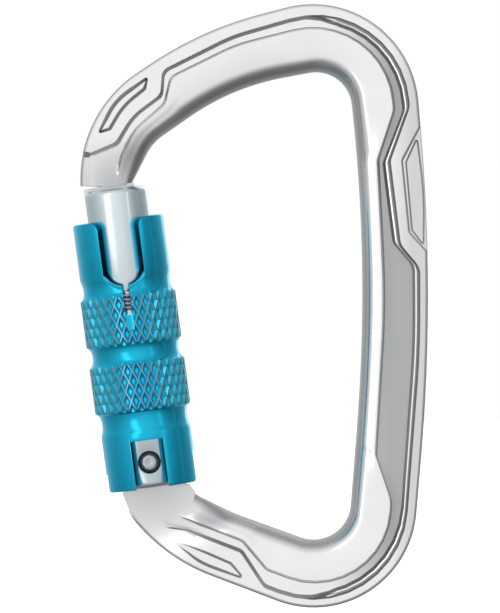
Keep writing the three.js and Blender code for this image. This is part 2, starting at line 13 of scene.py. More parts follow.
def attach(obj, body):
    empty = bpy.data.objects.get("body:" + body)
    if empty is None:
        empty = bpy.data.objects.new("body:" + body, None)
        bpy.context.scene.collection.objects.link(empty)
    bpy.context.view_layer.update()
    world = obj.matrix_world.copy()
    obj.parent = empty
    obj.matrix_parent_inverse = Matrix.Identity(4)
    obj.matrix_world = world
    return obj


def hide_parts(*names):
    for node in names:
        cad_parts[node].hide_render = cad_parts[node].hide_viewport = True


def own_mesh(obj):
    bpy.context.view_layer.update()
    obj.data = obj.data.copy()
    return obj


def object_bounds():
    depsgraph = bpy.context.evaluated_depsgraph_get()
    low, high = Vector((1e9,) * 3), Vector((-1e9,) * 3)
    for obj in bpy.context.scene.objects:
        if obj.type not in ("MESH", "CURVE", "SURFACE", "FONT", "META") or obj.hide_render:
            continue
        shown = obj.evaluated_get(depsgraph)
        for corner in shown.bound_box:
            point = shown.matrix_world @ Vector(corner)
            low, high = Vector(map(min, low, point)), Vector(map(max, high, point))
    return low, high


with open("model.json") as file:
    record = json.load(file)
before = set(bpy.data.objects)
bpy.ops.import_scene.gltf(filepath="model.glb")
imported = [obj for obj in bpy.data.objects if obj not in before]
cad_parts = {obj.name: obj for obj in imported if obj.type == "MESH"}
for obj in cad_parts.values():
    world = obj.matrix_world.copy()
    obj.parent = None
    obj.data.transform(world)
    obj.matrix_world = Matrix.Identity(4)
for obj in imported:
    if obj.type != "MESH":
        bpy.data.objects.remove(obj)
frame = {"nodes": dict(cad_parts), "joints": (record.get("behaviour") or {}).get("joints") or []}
CAD_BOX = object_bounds()

bl_info = {
    "name": "Locking carabiner",
    "version": (1, 0, 0),
    "blender": (4, 5, 0),
    "location": "3D View > Sidebar > Carabiner",
    "description": "Builds the fine surfaces, finishes and studio of a locking carabiner",
    "category": "Add Mesh",
}

MM = 0.001
JOINTS = {joint["name"]: joint for joint in frame["joints"]}

# ---- body, seen from the front: X from the gate to the spine, Z along the load line ----
LENGTH = 99.8
WIDTH = 57.6
CROWN = 11.1
SPINE_X = 18.2
BASE = CROWN - LENGTH
LEFT = SPINE_X - WIDTH
MIDDLE = (CROWN + BASE) / 2
END_Y = 1.95  # half thickness of the body's ends, beside the gate

# Outlines are corners [x, z, fillet radius]; the first and last corners are plain ends.
OUTER_EDGE = [
    (LEFT - 0.1, -18.8), (LEFT - 0.35, -6.5, 22), (LEFT + 20.1, CROWN - 4, 60),
    (SPINE_X - 3.3, CROWN + 5, 17.6), (SPINE_X + 1.2, MIDDLE + 1.7, 320),
    (SPINE_X - 3.8, BASE - 7.1, 17.1), (LEFT + 14.4, BASE + 7.9, 31),
    (LEFT + 8.6, BASE + 14.5, 8.4), (LEFT + 6.7, BASE + 18.4),
]
INNER_EDGE = [
    (LEFT + 8.1, -19), (LEFT + 11.9, -11.6, 8.3), (LEFT + 25.1, -2.4, 40), (4.9, 1.2, 6),
    (8.6, MIDDLE + 6.7, 280), (4.8, BASE + 8.7, 6.2), (LEFT + 25.4, BASE + 15.5, 30),
    (LEFT + 19.1, BASE + 18.6, 5), (LEFT + 16.7, BASE + 21.2),
]
# The edge of the rope rail's crown and the edge of the outer rim. The channel lies between them.
CROWN_EDGE = [
    (-33.9, -21), (-32.6, -14.4, 6), (-30.4, -9.8, 9), (-25.3, -5.4, 2.4), (-24.3, -1, 2.2),
    (-13.5, 4.3, 25), (10.9, 10.5, 13.2), (12.4, -6.4, 3), (9.7, -14.6, 1.6), (10.9, -38, 140),
    (9.4, -63.4, 2.5), (12, -71, 5), (10.3, -89.2, 12.4), (-8.5, -82.2, 1.6), (-12.4, -77.5, 1.6),
    (-23, -73.5, 3), (-27.4, -68),
]
RIM_EDGE = [
    (-41.5, -15), (-33.6, -11.6, 1.8), (-31, -7.2, 10), (-26.2, -3.6, 1.8), (-25.9, 0.4, 1.8),
    (-14.3, 6.2, 28), (13.5, 14.1, 16), (15.2, -5.8, 3), (12, -14.7, 1.6), (13.7, -28.6, 2.5),
    (16.9, -32.4, 3), (16.9, -46, 150), (13.2, -94, 15.8), (-9, -85.5, 1.6), (-12.9, -79.7, 1.6),
    (-22, -76.1, 1.5), (-26, -75.6, 3), (-31.2, -68.6),
]
# Closed outlines of what is sunk into the rim: a lens at each gate end, a step and its pocket at the spine.
LENS_TOP = [
    (-28.2, -0.7, 0.25), (-28.6, -2.9, 0.5), (-32.2, -5.8, 14), (-34.4, -9.6, 0.5),
    (-36.5, -10.2, 0.25), (-34, -4.6, 11),
]
LENS_BASE = [
    (-24.3, -77.9, 0.2), (-22.4, -77.8, 0.5), (-14.4, -81.3, 0.8), (-12.1, -84.1, 0.3),
    (-19.6, -81.5, 16),
]
SPINE_STEP = [
    (17.6, -7.4, 0.2), (13.8, -14.6, 1.2), (15, -26.6, 1.2), (18.8, -30.8, 0.2), (22, -30.8, 0.2),
    (22, -7.4, 0.2),
]
SPINE_POCKET = [
    (16.4, -10.8, 0.2), (14.5, -14.9, 0.9), (15.5, -26.2, 1), (17.5, -28.8, 0.2), (17.6, -20, 60),
]

# ---- gate and sleeve, in the gate's frame: Z along the gate from the rivet, X into the rope space ----
GATE_R = 5.5
GATE_FOOT = 4.2
GATE_TOP = 45.7
GATE_FLAT = 4.85
GATE_OPEN = 28  # degrees
RUN = 0.3  # room between pieces that move past each other
NOSE_TIP = 41.5
NOSE_HEAD = 44.2
NOSE_ROOT = 46.1
NOSE_SIDE = 4.3
HEAD_Y = 2.3
NECK_Y = 1.6
HINGE_ROOT = 8.95
BLADE_R = 4.4
BLADE_Y = 1.9
CAM_RISE = 0.9
RIVET_R = 1.25
PLUNGER_BORE = 2.2
PLUNGER_SEAT = 21.4
RING_GROOVE = (20.15, 21.05)
GUIDE_PIN_R = 0.8
GUIDE_PIN_Z = 23.6
SKIRT_R = 7.5
SKIRT_BORE = 5.8
SLEEVE_SKIRT = 4.3
SLEEVE_BORE = 6.35
SLEEVE_LIFT = 2.5
SHOULDER = 8.7
NECK_R = 7.15
KNURL_R = 7.95
PRONG_R = 7.55
PRONG_TIP = 40.5
WAIST_R = 7.2
LOW_KNURL = (8.7, 16.65)
HIGH_KNURL = (19.8, 27.9)
PRONG_ROOT = 31.1
WINDOW_HALF = 3.45
WINDOW_FLOOR = 30.6
WINDOW_SQUASH = 0.6
WINDOW_FLARE = 1.5
SLIT_HALF = 0.575
SLIT_FLOOR = 24.6
SLIT_FOOT = 22.1

# Springs: radius to the wire's middle, wire, heights of the first and last turn, and start in degrees.
LIFT_SPRING = {"radius": 5.925, "wire": 0.6, "low": 9.65, "high": 19.85, "turns": 6.0}
GATE_SPRING = {"radius": 1.65, "wire": 0.5, "low": 12.3, "high": 21.1, "turns": 8.0}
RETURN_LOW = 25.3
RETURN_HIGH = 28.2
RETURN_WIRE = 0.65
RETURN_SPRING = {
    "radius": 5.075, "wire": RETURN_WIRE, "low": RETURN_LOW, "high": RETURN_HIGH,
    "turns": 4.256, "start": 180,
}

# ---- studio, in metres. A soft box has a place from the object's middle, a size and a brightness ----
SOFT_BOXES = {
    "key": ((-0.24, -0.44, 0.1), (0.15, 0.5), 0.95),
    "edge": ((0.34, -0.36, 0.04), (0.025, 0.5), 1.2),
    "back": ((0.2, 0.45, 0.15), (0.1, 0.5), 1.0),
}
FLOOR_DROP = 0.06
FLOOR_REACH = 4.0
VIEW_MIDDLE = (-0.01131, -0.03885)
VIEW_WIDTH = 0.102
LENS = 300  # millimetres

rivet = Vector(JOINTS["gate_open"]["pos_m"])
up = Vector(JOINTS["sleeve_lift"]["axis"]).normalized()
inward = Vector((up.z, 0, -up.x))
GATE_FRAME = Matrix.Translation(rivet) @ Matrix((inward, (0, 1, 0), up)).transposed().to_4x4()
RIVET_XZ = (rivet.x / MM, rivet.z / MM)


def linear(hex_colour):
    """An sRGB hex colour as linear red, green, blue and alpha."""
    channels = [int(hex_colour[i:i + 2], 16) / 255 for i in (1, 3, 5)]
    return [c / 12.92 if c <= 0.04045 else ((c + 0.055) / 1.055) ** 2.4 for c in channels] + [1.0]


# ---- what a user can change ----

def length(name, about, default):
    """A length that a user can change, in metres."""
    return bpy.props.FloatProperty(name=name, description=about, default=default, unit="LENGTH")


def colour(name, about, default):
    """A colour that a user can change, given as an sRGB hex colour."""
    return bpy.props.FloatVectorProperty(
        name=name, description=about, default=linear(default), size=4, subtype="COLOR",
    )


class BodySizes(bpy.types.PropertyGroup):
    """The forged section of the body."""

    rail: length("Rail", "Half thickness of the rope rail", 0.005)
    rim: length("Rim", "Half thickness of the outer rim", 0.0037)
    web: length("Web", "Half thickness of the web in the channel", 0.002)
    pocket: length("Pocket depth", "Depth of the slots in the rim", 0.0011)
    station: length("Station", "Spacing of the sections along the body", 0.00036)


class SleeveSizes(bpy.types.PropertyGroup):
    """The locking sleeve and its knurl."""

    columns: bpy.props.IntProperty(
        name="Columns", description="Knurl diamonds round the sleeve", default=32,
    )
    pitch: length("Pitch", "Height of one knurl diamond", 0.0033)
    depth: length("Depth", "Depth of the knurl", 0.00038)
    crest: bpy.props.FloatProperty(
        name="Crest", description="Share of a diamond taken by the ridge round it",
        default=0.13, subtype="FACTOR",
    )


class Finishes(bpy.types.PropertyGroup):
    """Colours of the finishes."""

    polished: colour("Polished aluminium", "The body", "#F5F4F3")
    satin: colour("Satin aluminium", "The gate", "#DDEBEF")
    anodised: colour("Anodised aluminium", "The sleeve", "#25BADF")
    steel: colour("Steel", "Rivet, springs and pins", "#B9BBBD")


# ---- outlines ----

def rounded(corners, closed=False, steps=10):
    """Walks round corners with their fillets. Gives the points, and where each corner's middle lies."""
    points = [Vector(corner[:2]) for corner in corners]
    count = len(points)
    path = [] if closed else [points[0]]
    middles = [] if closed else [0]
    for i in range(count) if closed else range(1, count - 1):
        corner = points[i]
        back = points[i - 1] - corner
        ahead = points[(i + 1) % count] - corner
        room = 0.5 * min(back.length, ahead.length)
        back.normalize()
        ahead.normalize()
        half = math.acos(max(-1, min(1, back.dot(ahead)))) / 2
        reach = min(corners[i][2] / math.tan(half), (0.98 if closed else 1.9) * room)
        radius = reach * math.tan(half)
        centre = corner + (back + ahead).normalized() * math.hypot(radius, reach)
        start = corner + back * reach - centre
        end = corner + ahead * reach - centre
        angle = math.atan2(start.y, start.x)
        sweep = math.remainder(math.atan2(end.y, end.x) - angle, 2 * math.pi)
        for k in range(steps + 1):
            turn = angle + sweep * k / steps
            path.append(centre + radius * Vector((math.cos(turn), math.sin(turn))))
            if 2 * k == steps:
                middles.append(len(path) - 1)
    if not closed:
        path.append(points[-1])
        middles.append(len(path) - 1)
    return path, middles


def lengths_along(path):
    """How far along the path each of its points lies."""
    lengths = [0.0]
    for before, after in zip(path, path[1:]):
        lengths.append(lengths[-1] + (after - before).length)
    return lengths


def point_at(path, lengths, wanted):
    """The point that lies at the wanted length along the path."""
    i = next((k for k in range(1, len(path) - 1) if lengths[k] >= wanted), len(path) - 1)
    span = lengths[i] - lengths[i - 1] or 1.0
    return path[i - 1].lerp(path[i], (wanted - lengths[i - 1]) / span)


def crossing(a, b, path):
    """How far from a to b the line meets the path, as a share, or None."""
    across = b - a
    best = None
    for start, end in zip(path, path[1:]):
        along = end - start
        size = across.x * along.y - across.y * along.x
        if abs(size) < 1e-12:
            continue
        gap = start - a
        share = (gap.x * along.y - gap.y * along.x) / size
        place = (gap.x * across.y - gap.y * across.x) / size
        if 0 <= place <= 1 and -0.2 < share < 1.2 and (best is None or share < best):
            best = share
    return best


def smoothstep(value, low, high):
    t = max(0.0, min(1.0, (value - low) / (high - low)))
    return t * t * (3 - 2 * t)


def mix(a, b, share):
    return a + (b - a) * share


def arc(x, z, radius, start, end, steps):
    """Points of an arc, in degrees. The radius may be a function of the share of the way round."""
    points = []
    for i in range(steps + 1):
        angle = math.radians(mix(start, end, i / steps))
        r = radius(i / steps) if callable(radius) else radius
        points.append((x + r * math.cos(angle), z + r * math.sin(angle)))
    return points


# ---- meshes ----

def solid(name, points, faces):
    """A mesh object from points in millimetres."""
    mesh = bpy.data.meshes.new(name)
    mesh.from_pydata([Vector(p) * MM for p in points], [], faces)
    mesh.validate()
    made = bpy.data.objects.new(name, mesh)
    bpy.context.scene.collection.objects.link(made)
    return made


def skinned(name, rings, closed=False):
    """A solid skinned over rings of points. Its ends are capped unless the rings close on themselves."""
    size = len(rings[0])
    count = len(rings)
    faces = []
    for i in range(count if closed else count - 1):
        for k in range(size):
            a = i * size + k
            b = i * size + (k + 1) % size
            shift = size if i + 1 < count else -size * (count - 1)
            faces.append((a, b, b + shift, a + shift))
    if not closed:
        faces.append(tuple(reversed(range(size))))
        faces.append(tuple(range((count - 1) * size, count * size)))
    return outward(solid(name, [p for ring in rings for p in ring], faces))


def outward(made):
    """Turns the faces of a solid outwards."""
    mesh = made.data
    mesh.calc_loop_triangles()
    volume = 0.0
    for triangle in mesh.loop_triangles:
        a, b, c = (mesh.vertices[i].co for i in triangle.vertices)
        volume += a.dot(b.cross(c))
    if volume < 0:
        mesh.flip_normals()
    return made


def prism(name, outline, low, high):
    """An outline of (x, z) points given thickness along Y."""
    return skinned(name, [[(x, y, z) for x, z in outline] for y in (low, high)])


def block(name, x, y, z):
    return prism(name, [(x[0], z[0]), (x[1], z[0]), (x[1], z[1]), (x[0], z[1])], *y)


def circle(radius, height, segments, axis="Z", z=0):
    """Points round Z at that height, or round a line along Y, that far along it and at height z."""
    points = []
    for i in range(segments):
        angle = 2 * math.pi * i / segments
        a, b = radius * math.cos(angle), radius * math.sin(angle)
        points.append((a, b, height) if axis == "Z" else (a, height, b + z))
    return points


def bar(name, radius, low, high, axis="Z", segments=48, z=0):
    """A round bar along Z, or along Y at height z."""
    return skinned(name, [circle(radius, end, segments, axis, z) for end in (low, high)])


def turned(name, profile, segments, axis="Z"):
    """A solid turned from a profile of (radius, height) points that starts and ends on the axis."""
    return skinned(name, [circle(r, h, segments, axis) for r, h in profile[1:-1]])


def lathe(name, profile, segments=144):
    """A closed profile of (radius, height) points turned about Z, with a hole along Z."""
    circles = [circle(r, h, segments) for r, h in profile]
    return skinned(name, list(zip(*circles)), closed=True)


def groove(name, inner, outer, low, high):
    return lathe(name, [(inner, low), (outer, low), (outer, high), (inner, high)])


def applied(made):
    """Turns the object's modifiers into its mesh."""
    graph = bpy.context.evaluated_depsgraph_get()
    mesh = bpy.data.meshes.new_from_object(made.evaluated_get(graph))
    made.modifiers.clear()
    old = made.data
    made.data = mesh
    bpy.data.meshes.remove(old)
    return made


def combined(made, operation, *tools):
    """Cuts, joins or crosses the object with each tool, and removes the tools."""
    for tool in tools:
        step = made.modifiers.new("combine", "BOOLEAN")
        step.operation = operation
        step.solver = "MANIFOLD"
        step.object = tool
        applied(made)
        mesh = tool.data
        bpy.data.objects.remove(tool)
        bpy.data.meshes.remove(mesh)
    if not made.data.polygons:
        raise RuntimeError(f"{made.name} is empty after {operation}")
    return made


def in_gate_frame(made):
    """Moves a mesh from the gate's own frame to its place."""
    made.data.transform(GATE_FRAME)
    return made


def softened(made, width, angle=35, segments=2):
    """A small bevel along the sharp edges."""
    edge = made.modifiers.new("edge", "BEVEL")
    edge.width = width * MM
    edge.segments = segments
    edge.limit_method = "ANGLE"
    edge.angle_limit = math.radians(angle)
    edge.use_clamp_overlap = True
    edge.miter_outer = "MITER_ARC"
    return applied(made)


def shaded(made, angle):
    """Smooth shading, with edges sharper than the angle kept sharp."""
    made.data.shade_smooth()
    made.data.set_sharp_from_angle(angle=math.radians(angle))
    return made


def placed(made, name, body, material, slot, *nodes):
    """Names a finished piece, gives it its finish and its body, and hides the nodes that it stands for."""
    made.name = name
    made.data.name = name
    made.data.materials.clear()
    made.data.materials.append(material)
    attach(made, body)
    if nodes:
        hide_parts(*nodes)
    return made


# ---- nodes ----

def add_node(tree, kind, inputs=None, **settings):
    """Adds a node. Its inputs are values or output sockets, by name or number."""
    made = tree.nodes.new(kind)
    for name, value in settings.items():
        setattr(made, name, value)
    for key, value in (inputs or {}).items():
        if isinstance(value, bpy.types.NodeSocket):
            tree.links.new(value, made.inputs[key])
        else:
            made.inputs[key].default_value = value
    return made


def calc(tree, operation, *values):
    """The result of a maths node."""
    return add_node(tree, "ShaderNodeMath", dict(enumerate(values)), operation=operation).outputs[0]


def ramp(tree, value, low, high, start=0.0, end=1.0):
    """A value carried from the range low to high over to the range start to end, and held at its ends."""
    return add_node(tree, "ShaderNodeMapRange", {
        "Value": value, "From Min": low, "From Max": high, "To Min": start, "To Max": end,
    }).outputs[0]


def vector(tree, operation, a, b, output=0):
    """The result of a vector maths node, where output 1 is its single value."""
    return add_node(tree, "ShaderNodeVectorMath", {0: a, 1: b}, operation=operation).outputs[output]


def new_material(name):
    material = bpy.data.materials.get(name) or bpy.data.materials.new(name)
    material.use_nodes = True
    material.node_tree.nodes.clear()
    return material


def metal(name, colour, roughness, grain_mm, relief_mm, stretch=(1, 1, 1), spread=0.05):
    """A bare or dyed metal: fine grain in its relief, and slow changes in its polish and colour.

    grain_mm is the size of the grain, relief_mm its height, and stretch draws it out along an axis.
    """
    material = new_material(name)
    tree = material.node_tree
    place = add_node(tree, "ShaderNodeTexCoord").outputs["Object"]
    drawn = add_node(tree, "ShaderNodeMapping", {"Vector": place, "Scale": stretch})
    grain = add_node(tree, "ShaderNodeTexNoise", {
        "Vector": drawn.outputs[0], "Scale": 1 / (grain_mm * MM), "Detail": 3.0,
    })
    slow = add_node(tree, "ShaderNodeTexNoise", {
        "Vector": place, "Scale": 1 / (9 * MM), "Detail": 2.0,
    })
    polish = ramp(tree, slow.outputs["Fac"], 0.3, 0.7, roughness - spread, roughness + spread)
    tone = add_node(tree, "ShaderNodeHueSaturation", {
        "Color": list(colour), "Value": ramp(tree, slow.outputs["Fac"], 0.3, 0.7, 0.97, 1.02),
    })
    relief = add_node(tree, "ShaderNodeBump", {
        "Height": grain.outputs["Fac"], "Distance": relief_mm * MM, "Strength": 0.6,
    })
    surface = add_node(tree, "ShaderNodeBsdfPrincipled", {
        "Base Color": tone.outputs[0],
        "Metallic": 1.0,
        "Roughness": polish,
        "Normal": relief.outputs[0],
    })
    add_node(tree, "ShaderNodeOutputMaterial", {"Surface": surface.outputs[0]})
    return material


def finishes():
    return bpy.context.scene.carabiner_finishes


def overlaid(material, name, share, value):
    """Mixes a share of a hex colour or a number into what feeds an input of the material's surface."""
    tree = material.node_tree
    surface = next(node for node in tree.nodes if node.type == "BSDF_PRINCIPLED")
    under = surface.inputs[name].links[0].from_socket
    if isinstance(value, str):
        inputs = {0: share, 6: under, 7: linear(value)}
        mixed = add_node(tree, "ShaderNodeMix", inputs, data_type="RGBA").outputs[2]
    else:
        mixed = add_node(tree, "ShaderNodeMix", {0: share, 2: under, 3: value}).outputs[0]
    tree.links.new(mixed, surface.inputs[name])


def polished_aluminium():
    """Forged and polished aluminium: bright faces. The flanks of the relief, the spine's web and rim and
    the two ends by the gate are rougher, and their greyer colour is painted shade."""
    material = metal("polished_aluminium", finishes().polished, 0.21, 0.9, 0.004, spread=0.02)
    tree = material.node_tree
    place = add_node(tree, "ShaderNodeTexCoord")
    spot = add_node(tree, "ShaderNodeSeparateXYZ", {0: place.outputs["Object"]}).outputs
    facing = add_node(tree, "ShaderNodeSeparateXYZ", {0: place.outputs["Normal"]}).outputs
    depth = calc(tree, "ABSOLUTE", spot["Y"])

    # Painted shade: the steep flanks of the relief, turned away from the front and back, are painted
    # greyer.
    steep = ramp(tree, calc(tree, "ABSOLUTE", facing["Y"]), 0.96, 0.62)
    flank_shade = calc(tree, "MULTIPLY", steep, ramp(tree, depth, 4.3 * MM, 3.4 * MM))
    # Painted shade: the sunk web darker towards the spine, and the whole body greyer towards the spine's
    # outer edge.
    sunk = ramp(tree, depth, 2.3 * MM, 2.1 * MM)
    spine_web_shade = calc(tree, "MULTIPLY", sunk, ramp(tree, spot["X"], 2 * MM, 12 * MM))
    spine_rim_shade = ramp(tree, spot["X"], 12 * MM, 15.5 * MM, 0, 0.45)
    web = calc(tree, "MAXIMUM", spine_web_shade, spine_rim_shade)
    # Painted shade: greyer close to the rivet and to the nose, where the body's ends sit in the gate's
    # slots.
    hinge = vector(tree, "DISTANCE", place.outputs["Object"], rivet, 1)
    nose = vector(tree, "DISTANCE", place.outputs["Object"], rivet + up * NOSE_ROOT * MM, 1)
    near_hinge = ramp(tree, hinge, 16 * MM, 5 * MM)
    ends = calc(tree, "MAXIMUM", near_hinge, ramp(tree, nose, 9 * MM, 2 * MM))

    overlaid(material, "Base Color", flank_shade, "#B4B6B8")
    overlaid(material, "Base Color", web, "#BCBDBE")
    overlaid(material, "Base Color", ends, "#C4C5C6")
    overlaid(material, "Roughness", calc(tree, "MAXIMUM", flank_shade, web), 0.42)
    return material


def satin_aluminium():
    """A turned bar in bright dipped aluminium: faint turning rings across it, cooler than the body, and
    painted shade round the rivet, where its foot sits in the sleeve's slot."""
    material = metal("satin_aluminium", finishes().satin, 0.22, 0.7, 0.003, stretch=(0.3, 0.3, 3))
    tree = material.node_tree
    place = add_node(tree, "ShaderNodeTexCoord").outputs["Object"]
    # Painted shade: the gate is painted greyer within a few millimetres of the rivet.
    foot = ramp(tree, vector(tree, "DISTANCE", place, rivet, 1), 9 * MM, 5 * MM)
    overlaid(material, "Base Color", foot, "#AEB9BD")
    return material


def spring_steel():
    """Drawn stainless wire and pins: darker, with a streaked skin."""
    return metal("spring_steel", finishes().steel, 0.28, 0.25, 0.004)


def peened_steel():
    """A steel rivet head closed by hammering: dented at about half a millimetre."""
    return metal("peened_steel", finishes().steel, 0.24, 0.45, 0.2)


def anodised_aluminium():
    """Dyed anodised aluminium over a satin turning; the knurl's crests are rubbed back to bare metal."""
    material = metal("anodised_aluminium", finishes().anodised, 0.22, 0.5, 0.003, spread=0.03)
    tree = material.node_tree
    local = add_node(tree, "ShaderNodeMapping", {
        "Vector": add_node(tree, "ShaderNodeTexCoord").outputs["Object"],
        "Location": GATE_FRAME.translation, "Rotation": GATE_FRAME.to_euler(),
    }, vector_type="TEXTURE")
    flat = vector(tree, "MULTIPLY", local.outputs[0], (1, 1, 0))
    radius = vector(tree, "DISTANCE", flat, (0, 0, 0), 1)
    crest = ramp(tree, radius, (KNURL_R - 0.1) * MM, (KNURL_R - 0.03) * MM)
    overlaid(material, "Base Color", crest, "#6BA9BA")
    return material


def pale_floor():
    """Matt white acrylic, lit from below so that it reads as white."""
    material = new_material("lit_acrylic")
    tree = material.node_tree
    place = add_node(tree, "ShaderNodeTexCoord").outputs["Object"]
    fibre = add_node(tree, "ShaderNodeTexNoise", {"Vector": place, "Scale": 1 / (2 * MM)})
    relief = add_node(tree, "ShaderNodeBump", {
        "Height": fibre.outputs["Fac"], "Distance": 0.02 * MM, "Strength": 0.3,
    })
    surface = add_node(tree, "ShaderNodeBsdfPrincipled", {
        "Base Color": linear("#FAFAFA"), "Roughness": 0.9, "Normal": relief.outputs[0],
        "Emission Color": (1, 1, 1, 1), "Emission Strength": 0.62,
    })
    add_node(tree, "ShaderNodeOutputMaterial", {"Surface": surface.outputs[0]})
    return material


# ---- geometry node trees ----

def new_tree(name, numbers, counts=()):
    """An empty geometry tree with named inputs, and the identifiers of those inputs."""
    tree = bpy.data.node_groups.new(name, "GeometryNodeTree")
    tree.interface.new_socket("Geometry", in_out="OUTPUT", socket_type="NodeSocketGeometry")
    names = {}
    for size in (*numbers, *counts):
        kind = "NodeSocketInt" if size in counts else "NodeSocketFloat"
        socket = tree.interface.new_socket(size, in_out="INPUT", socket_type=kind)
        names[size] = socket.identifier
    return tree, names


def grown_from(name, tree, names, values):
    """The tree's geometry as a plain mesh object."""
    made = solid(name, [], [])
    step = made.modifiers.new("build", "NODES")
    step.node_group = tree
    for size, value in values.items():
        step[names[size]] = value
    return applied(made)


def finish_tree(tree, geometry, material):
    """Makes instances real, gives the geometry its material and passes it out of the tree."""
    real = add_node(tree, "GeometryNodeRealizeInstances", {"Geometry": geometry})
    dressed = add_node(tree, "GeometryNodeSetMaterial", {
        "Geometry": real.outputs[0], "Material": material,
    })
    add_node(tree, "NodeGroupOutput", {"Geometry": dressed.outputs[0]})


def coil_tree(material):
    """A helical spring of round wire: radius and height to the wire's middle."""
    tree, names = new_tree("coil spring", ("Radius", "Wire", "Low", "Height", "Turns", "Start"))
    given = add_node(tree, "NodeGroupInput").outputs
    spiral = add_node(tree, "GeometryNodeCurveSpiral", {
        "Resolution": 40, "Rotations": given["Turns"], "Start Radius": given["Radius"],
        "End Radius": given["Radius"], "Height": given["Height"],
    })
    section = add_node(tree, "GeometryNodeCurvePrimitiveCircle", {
        "Resolution": 14, "Radius": calc(tree, "MULTIPLY", given["Wire"], 0.5),
    })
    wire = add_node(tree, "GeometryNodeCurveToMesh", {
        "Curve": spiral.outputs[0], "Profile Curve": section.outputs[0], "Fill Caps": True,
    })
    lift = add_node(tree, "ShaderNodeCombineXYZ", {"Z": given["Low"]})
    turn = add_node(tree, "ShaderNodeCombineXYZ", {"Z": given["Start"]})
    moved = add_node(tree, "GeometryNodeTransform", {
        "Geometry": wire.outputs[0], "Translation": lift.outputs[0], "Rotation": turn.outputs[0],
    })
    finish_tree(tree, moved.outputs[0], material)
    return tree, names


def knurl_tree(material):
    """The pits of a diamond knurl: a blunt pyramid at each place of staggered rows round Z."""
    tree, names = new_tree(
        "knurl pits", ("Radius", "Low", "Pitch", "Depth", "Crest"), ("Columns", "Rows"),
    )
    given = add_node(tree, "NodeGroupInput").outputs
    count = calc(tree, "MULTIPLY", given["Columns"], given["Rows"])
    index = add_node(tree, "GeometryNodeInputIndex").outputs[0]
    row = calc(tree, "FLOOR", calc(tree, "DIVIDE", calc(tree, "ADD", index, 0.5), given["Columns"]))
    column = calc(tree, "SUBTRACT", index, calc(tree, "MULTIPLY", row, given["Columns"]))
    stagger = calc(tree, "MULTIPLY", calc(tree, "MODULO", row, 2.0), 0.5)
    step = calc(tree, "DIVIDE", 2 * math.pi, given["Columns"])
    angle = calc(tree, "MULTIPLY", calc(tree, "ADD", column, stagger), step)
    half_height = calc(tree, "MULTIPLY", given["Pitch"], 0.5)
    half_width = calc(tree, "MULTIPLY", calc(tree, "MULTIPLY", given["Radius"], step), 0.5)
    spot = add_node(tree, "ShaderNodeCombineXYZ", {
        "X": calc(tree, "MULTIPLY", given["Radius"], calc(tree, "COSINE", angle)),
        "Y": calc(tree, "MULTIPLY", given["Radius"], calc(tree, "SINE", angle)),
        "Z": calc(tree, "MULTIPLY_ADD", row, half_height, given["Low"]),
    })
    dots = add_node(tree, "GeometryNodePoints", {"Count": count, "Position": spot.outputs[0]})
    open_share = calc(tree, "SUBTRACT", 1.0, given["Crest"])
    pit = add_node(tree, "GeometryNodeMeshCone", {
        "Vertices": 4,
        "Radius Top": calc(tree, "MULTIPLY", open_share, 1.09),
        "Radius Bottom": calc(tree, "MULTIPLY", open_share, 0.4),
        "Depth": calc(tree, "MULTIPLY", given["Depth"], 1.15),
    })
    drop = add_node(tree, "ShaderNodeCombineXYZ", {"Z": calc(tree, "MULTIPLY", given["Depth"], -1.0)})
    shape = add_node(tree, "ShaderNodeCombineXYZ", {"X": half_width, "Y": half_height, "Z": 1.0})
    sized = add_node(tree, "GeometryNodeTransform", {
        "Geometry": pit.outputs["Mesh"], "Translation": drop.outputs[0], "Scale": shape.outputs[0],
    })
    # The cone stands along Z: turned so that Z points out from the sleeve and Y along it.
    stood = add_node(tree, "GeometryNodeTransform", {
        "Geometry": sized.outputs[0], "Rotation": (math.pi / 2, 0.0, math.pi / 2),
    })
    facing = add_node(tree, "ShaderNodeCombineXYZ", {"Z": angle})
    copies = add_node(tree, "GeometryNodeInstanceOnPoints", {
        "Points": dots.outputs[0], "Instance": stood.outputs[0], "Rotation": facing.outputs[0],
    })
    finish_tree(tree, copies.outputs[0], material)
    return tree, names


# ---- body ----

def end_fade(point):
    """How far the section has grown from its thin ends: at the hinge, and at the nose."""
    reach = math.hypot(point.x - RIVET_XZ[0], point.y - RIVET_XZ[1])
    hinge = smoothstep(reach - HINGE_ROOT, 0.5, 9)
    nose = smoothstep(reach - NOSE_ROOT, 1, 11.5)
    return hinge, nose


def wall_profile(ledge):
    """The outer wall of the channel, as shares of its width and height; ledge 1 gives it a step."""
    plain = [(0, 0), (0.12, 0.03), (0.35, 0.34), (0.6, 0.68), (0.84, 0.96), (1, 1)]
    stepped = [(0, 0), (0.09, 0.05), (0.38, 0.66), (0.55, 0.7), (0.68, 0.62), (1, 1)]
    return [(mix(a[0], b[0], ledge), mix(a[1], b[1], ledge)) for a, b in zip(plain, stepped)]


